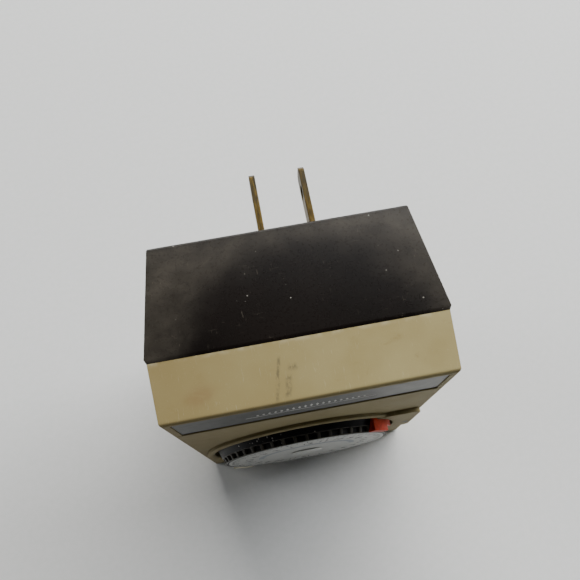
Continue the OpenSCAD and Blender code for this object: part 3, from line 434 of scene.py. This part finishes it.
def tarnished_brass():
    """Brass of the blades: tarnished in streaks along them, and brighter near the cover."""
    paint = Paint("blade_brass", Metallic=0.92)
    streaks = paint.noise(0.7, 4, 0.65, stretch=(1, 7, 1.5), warp=0.5)
    pits = paint.noise(0.3, 4, 0.7)
    along = paint.fade(paint.parts["Y"], COVER_HIGH.y + 11 * MM, COVER_HIGH.y + 7 * MM)
    base = paint.blend(paint.fade(streaks, 0.35, 0.68), srgb(108, 90, 46), srgb(62, 52, 32))
    base = paint.lay(base, paint.fade(pits, 0.5, 0.72), 0.6, srgb(34, 30, 24))
    dull = paint.both(paint.maths("SUBTRACT", 1.0, along), paint.fade(streaks, 0.3, 0.6))
    base = paint.lay(base, dull, 0.75, srgb(54, 51, 43))
    return paint.finish(
        Base_Color=base,
        Roughness=paint.between(streaks, 0.3, 0.62),
        Normal=paint.bump(pits, 0.3, 0.03),
    )


def wound_copper():
    """Enamelled wire laid in turns round the bobbin."""
    paint = Paint("copper", Metallic=0.9)
    wire = 0.22 * MM
    # Bands of painted shade between the turns and painted highlight on each turn
    turns = paint.maths("SINE", paint.maths("MULTIPLY", paint.parts["X"], 2 * math.pi / wire))
    shade = paint.fade(turns, -1.0, 1.0)
    base = paint.blend(shade, srgb(104, 52, 24), srgb(196, 118, 62))
    return paint.finish(Base_Color=base, Roughness=0.32, Normal=paint.bump(shade, 0.6, 0.06))


def floor_material():
    paint = Paint("floor")
    fibres = paint.noise(2, 4, 0.6)
    base = paint.blend(paint.fade(fibres, 0.3, 0.7), srgb(243, 244, 243), srgb(239, 241, 239))
    return paint.finish(Base_Color=base, Roughness=0.75, Normal=paint.bump(fibres, 0.05, 0.05))


def ink(name, colour):
    """Printed ink, slightly worn."""
    paint = Paint(name, IOR=INK_IOR)
    worn = paint.noise(0.5, 4, 0.7)
    base = paint.lay(colour, paint.fade(worn, 0.55, 0.8), 0.4, srgb(120, 118, 112))
    return paint.finish(Base_Color=base, Roughness=paint.between(worn, 0.45, 0.7))


# Brushed metals: bright and dark colour, axis of the brushing, roughness, and width of its lines in mm
METALS = {
    "name_metal": (srgb(72, 71, 67), srgb(50, 50, 48), "X", (0.34, 0.48), 0.09),
    "brass": (srgb(214, 178, 96), srgb(160, 124, 60), "Y", (0.25, 0.4), 0.12),
    "bronze": (srgb(206, 150, 92), srgb(150, 100, 56), "Y", (0.28, 0.42), 0.12),
    "zinc_steel": (srgb(196, 196, 190), srgb(140, 138, 130), "Z", (0.28, 0.48), 0.2),
    "dark_steel": (srgb(110, 112, 116), srgb(66, 66, 68), "X", (0.35, 0.55), 0.2),
    "silver": (srgb(228, 228, 224), srgb(178, 178, 172), "X", (0.2, 0.34), 0.15),
}

# Moulded plastics: colour, and the darker one in its clouds
PLASTICS = {
    "orange_plastic": (srgb(196, 52, 2), srgb(146, 34, 2)),
    "ivory_plastic": (srgb(214, 208, 186), srgb(190, 180, 150)),
    "nylon": (srgb(226, 218, 190), srgb(206, 194, 160)),
    "phenolic": (srgb(112, 66, 40), srgb(74, 42, 26)),
    "black_wire": (srgb(34, 34, 34), srgb(20, 20, 20)),
    "white_wire": (srgb(216, 214, 206), srgb(190, 186, 172)),
    "red_wire": (srgb(158, 44, 30), srgb(112, 28, 20)),
}


def make_materials():
    """Every material slot of the record, by name."""
    materials = {
        "cream_plastic": cream_plastic(),
        "black_plastic": black_plastic(),
        "dial_black": dial_black(),
        "face_metal": spun_metal(),
        "blade_brass": tarnished_brass(),
        "copper": wound_copper(),
    }
    for name, settings in METALS.items():
        materials[name] = brushed_metal(name, *settings)
    for name, colours in PLASTICS.items():
        materials[name] = moulded(name, *colours)
    return materials


# ---------------------------------------------------------------- CAD nodes

# Bevels on the edges that show, in mm. Every other node only has its edges split
BEVELS = {
    "front_housing": 0.30,
    "rear_cover": 0.30,
    "nameplate": 0.08,
    "dial_drum": 0.10,
    "dial_cap": 0.10,
    "on_tripper": 0.14,
    "off_tripper": 0.14,
    "line_blade": 0.12,
    "neutral_blade": 0.12,
    "switch_lever": 0.12,
}

WELD_GAP = 0.002 * MM
BEVEL_ANGLE = math.radians(38)
SPLIT_ANGLE = math.radians(32)


def finish_cad(materials):
    """Each CAD node gets its slot's material and clean shading."""
    slot_of = {item["node"]: item["material_slot"] for item in frame["record"]["subparts"]}
    for name, item in frame["nodes"].items():
        item.data.materials.clear()
        item.data.materials.append(materials[slot_of[name]])
        item.data.polygons.foreach_set("use_smooth", [True] * len(item.data.polygons))
        weld = item.modifiers.new("weld", "WELD")
        weld.merge_threshold = WELD_GAP
        if name in BEVELS:
            bevel = item.modifiers.new("bevel", "BEVEL")
            bevel.width = BEVELS[name] * MM
            bevel.segments = 2
            bevel.limit_method = "ANGLE"
            bevel.angle_limit = BEVEL_ANGLE
            normals = item.modifiers.new("normals", "WEIGHTED_NORMAL")
            normals.keep_sharp = True
        else:
            split = item.modifiers.new("split", "EDGE_SPLIT")
            split.split_angle = SPLIT_ANGLE


# ---------------------------------------------------------------- printed detail

INK_T = 0.03 * MM
HOURS = 24
MARKS_PER_HOUR = 4
NUMBER_SIZE = 3.4 * MM
BAND_STEPS = 48

# Radii of the marks on the dial, as shares of the faceplate's
NUMBER_SHARE = 0.74
MARK_END_SHARE = 0.965
HOUR_SHARE = 0.87
HALF_SHARE = 0.90
QUARTER_SHARE = 0.93
BAND_SHARES = (0.55, 0.62)


def add_prism(bm, outline, y):
    """A thin plate of ink in X and Z, from y towards the front."""
    back = [bm.verts.new((x, y, z)) for x, z in outline]
    front = [bm.verts.new((x, y - INK_T, z)) for x, z in outline]
    bm.faces.new(front)
    bm.faces.new(list(reversed(back)))
    for i, vert in enumerate(back):
        j = (i + 1) % len(back)
        bm.faces.new((vert, back[j], front[j], front[i]))


def on_dial(radius, turn):
    """A point on the dial, turn degrees clockwise from the top."""
    angle = math.radians(turn)
    return DIAL.x + radius * math.sin(angle), DIAL.z + radius * math.cos(angle)


def radial_bar(bm, turn, inner, outer, width, y):
    """A straight mark that points at the dial's middle."""
    side = Vector((math.cos(math.radians(turn)), -math.sin(math.radians(turn)))) * width / 2
    ends = [Vector(on_dial(r, turn)) for r in (inner, outer)]
    add_prism(bm, [ends[0] - side, ends[1] - side, ends[1] + side, ends[0] + side], y)


def arc_band(bm, start, end, inner, outer, y):
    """A band that follows the dial from start to end degrees."""
    turns = [start + (end - start) * i / BAND_STEPS for i in range(BAND_STEPS + 1)]
    for a, b in zip(turns, turns[1:]):
        outline = [on_dial(inner, a), on_dial(outer, a), on_dial(outer, b), on_dial(inner, b)]
        add_prism(bm, outline, y)


def number_mesh(text, size, place, turn, y):
    """The triangles of a numeral on the dial, as lists of points."""
    curve = bpy.data.curves.new("numeral", "FONT")
    curve.body = text
    curve.size = size
    curve.align_x = "CENTER"
    curve.align_y = "CENTER"
    holder = bpy.data.objects.new("numeral", curve)
    scene.collection.objects.link(holder)
    bpy.context.view_layer.update()
    mesh = bpy.data.meshes.new_from_object(holder.evaluated_get(bpy.context.evaluated_depsgraph_get()))
    spin = Matrix.Rotation(math.radians(-turn), 2)
    faces = []
    for polygon in mesh.polygons:
        flat = [spin @ Vector(mesh.vertices[i].co[:2]) for i in polygon.vertices]
        faces.append([(place[0] + p.x, y, place[1] + p.y) for p in flat])
    bpy.data.objects.remove(holder)
    bpy.data.curves.remove(curve)
    bpy.data.meshes.remove(mesh)
    return faces


def dial_numbers(material):
    """Hours 1 to 12 twice round the face, running against the dial's turn."""
    def build(bm):
        for hour in range(HOURS):
            turn = -360 / HOURS * hour
            text = str((hour + 11) % 12 + 1)
            place = on_dial(FACEPLATE_R * NUMBER_SHARE, turn)
            for face in number_mesh(text, NUMBER_SIZE, place, turn, DIAL_FRONT_Y - INK_T):
                bm.faces.new([bm.verts.new(p) for p in face])
        bmesh.ops.remove_doubles(bm, verts=bm.verts, dist=0.001 * MM)
        raised = bmesh.ops.extrude_face_region(bm, geom=list(bm.faces))
        moved = [item for item in raised["geom"] if isinstance(item, bmesh.types.BMVert)]
        bmesh.ops.translate(bm, verts=moved, vec=(0, INK_T, 0))

    piece = mesh_object("dial_numbers", build, material)
    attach(piece, "dial")


def dial_ticks(material):
    """A mark for each quarter of an hour, longer on the half hour and the hour."""
    shares = (HOUR_SHARE, QUARTER_SHARE, HALF_SHARE, QUARTER_SHARE)
    widths = (0.28 * MM, 0.16 * MM, 0.16 * MM, 0.16 * MM)
    marks = HOURS * MARKS_PER_HOUR
    outer = FACEPLATE_R * MARK_END_SHARE

    def build(bm):
        for i in range(marks):
            quarter = i % MARKS_PER_HOUR
            inner = FACEPLATE_R * shares[quarter]
            radial_bar(bm, i * 360 / marks, inner, outer, widths[quarter], DIAL_FRONT_Y)

    piece = mesh_object("dial_ticks", build, material)
    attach(piece, "dial")


def night_band(material):
    """Grey band round the half of the dial from evening to morning."""
    inner, outer = (FACEPLATE_R * share for share in BAND_SHARES)

    def build(bm):
        arc_band(bm, -90, 90, inner, outer, DIAL_FRONT_Y)

    piece = mesh_object("night_band", build, material)
    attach(piece, "dial")


def time_arrow(material):
    """Pointer on the boss that shows the time now."""
    tip = on_dial(29.6 * MM, 90)
    length = 2.2 * MM
    half = 1.2 * MM
    outline = [tip, (tip[0] + length, tip[1] + half), (tip[0] + length, tip[1] - half)]
    piece = mesh_object("time_arrow", lambda bm: add_prism(bm, outline, BOSS_Y), material)
    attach(piece, "housing")


def nameplate_ornament(material):
    """A plain ornament in place of any name: a row of upright diamonds over a thin rule."""
    y = NAME_LOW.y
    middle_x = middle("nameplate").x
    z = NAME_LOW.z + (NAME_HIGH.z - NAME_LOW.z) * 0.45
    each_side = 9
    pitch = 1.35 * MM
    width = 0.35 * MM
    rule = 15 * MM
    rule_low = z - 1.1 * MM
    rule_high = z - 0.85 * MM

    def build(bm):
        for i in range(-each_side, each_side + 1):
            half = (1.5 - 0.9 * abs(i) / each_side) * MM
            x = middle_x + i * pitch
            add_prism(bm, [(x, z), (x + width, z + half), (x, z + half * 2), (x - width, z + half)], y)
        add_prism(bm, [(middle_x - rule, rule_low), (middle_x + rule, rule_low),
                       (middle_x + rule, rule_high), (middle_x - rule, rule_high)], y)

    piece = mesh_object("nameplate_ornament", build, material)
    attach(piece, "housing")


def label_rules(material):
    """A border and plain rules on the rating label, with no lettering."""
    y = LABEL_HIGH.y + INK_T
    inset = 1.6 * MM
    margin = 2 * MM
    border = 0.25 * MM
    rule = 0.4 * MM
    pitch = 4.6 * MM
    x0, x1 = LABEL_LOW.x + inset, LABEL_HIGH.x - inset
    z0, z1 = LABEL_LOW.z + inset, LABEL_HIGH.z - inset

    def bar(bm, left, right, bottom, top):
        add_prism(bm, [(left, bottom), (right, bottom), (right, top), (left, top)], y)

    def build(bm):
        for z in (z0, z1):
            bar(bm, x0, x1, z, z + border)
        for x in (x0, x1):
            bar(bm, x, x + border, z0, z1)
        for i, share in enumerate((0.8, 0.55, 0.7, 0.4)):
            z = z1 - (i + 1) * pitch
            right = x1 - margin
            bar(bm, right - (x1 - x0 - 2 * margin) * share, right, z, z + rule)

    piece = mesh_object("label_rules", build, material)
    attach(piece, "housing")


def add_floor():
    corners = ((-1, -1), (1, -1), (1, 1), (-1, 1))

    def build(bm):
        bm.faces.new([bm.verts.new((x * FLOOR_HALF, y * FLOOR_HALF, 0)) for x, y in corners])

    floor = mesh_object("floor", build, floor_material())


# ---------------------------------------------------------------- the scene

add_camera()
add_world(colour=(0.93, 0.96, 1.0), strength=0.06)
add_light("window", place=(0.45, 1.25, 1.0), target=(0, 0.05, 0.03), width=2.0, height=0.8, power=45,
          colour=(1.0, 0.985, 0.965))
add_light("left", place=(-1.35, 0.42, 1.0), target=(0, 0, 0), width=0.7, height=0.7, power=5,
          colour=(0.97, 0.985, 1.0))
add_light("right", place=(1.35, 0.42, 1.0), target=(0, 0, 0), width=0.7, height=0.7, power=17,
          colour=(0.98, 0.99, 1.0))
add_floor()

surfaces = make_materials()
finish_cad(surfaces)
black_ink = ink("black_ink", srgb(84, 84, 86))
band_ink = ink("band_ink", srgb(138, 144, 150))
pale_ink = ink("pale_ink", srgb(200, 200, 196))
dial_numbers(black_ink)
dial_ticks(black_ink)
night_band(band_ink)
time_arrow(black_ink)
nameplate_ornament(pale_ink)
label_rules(black_ink)
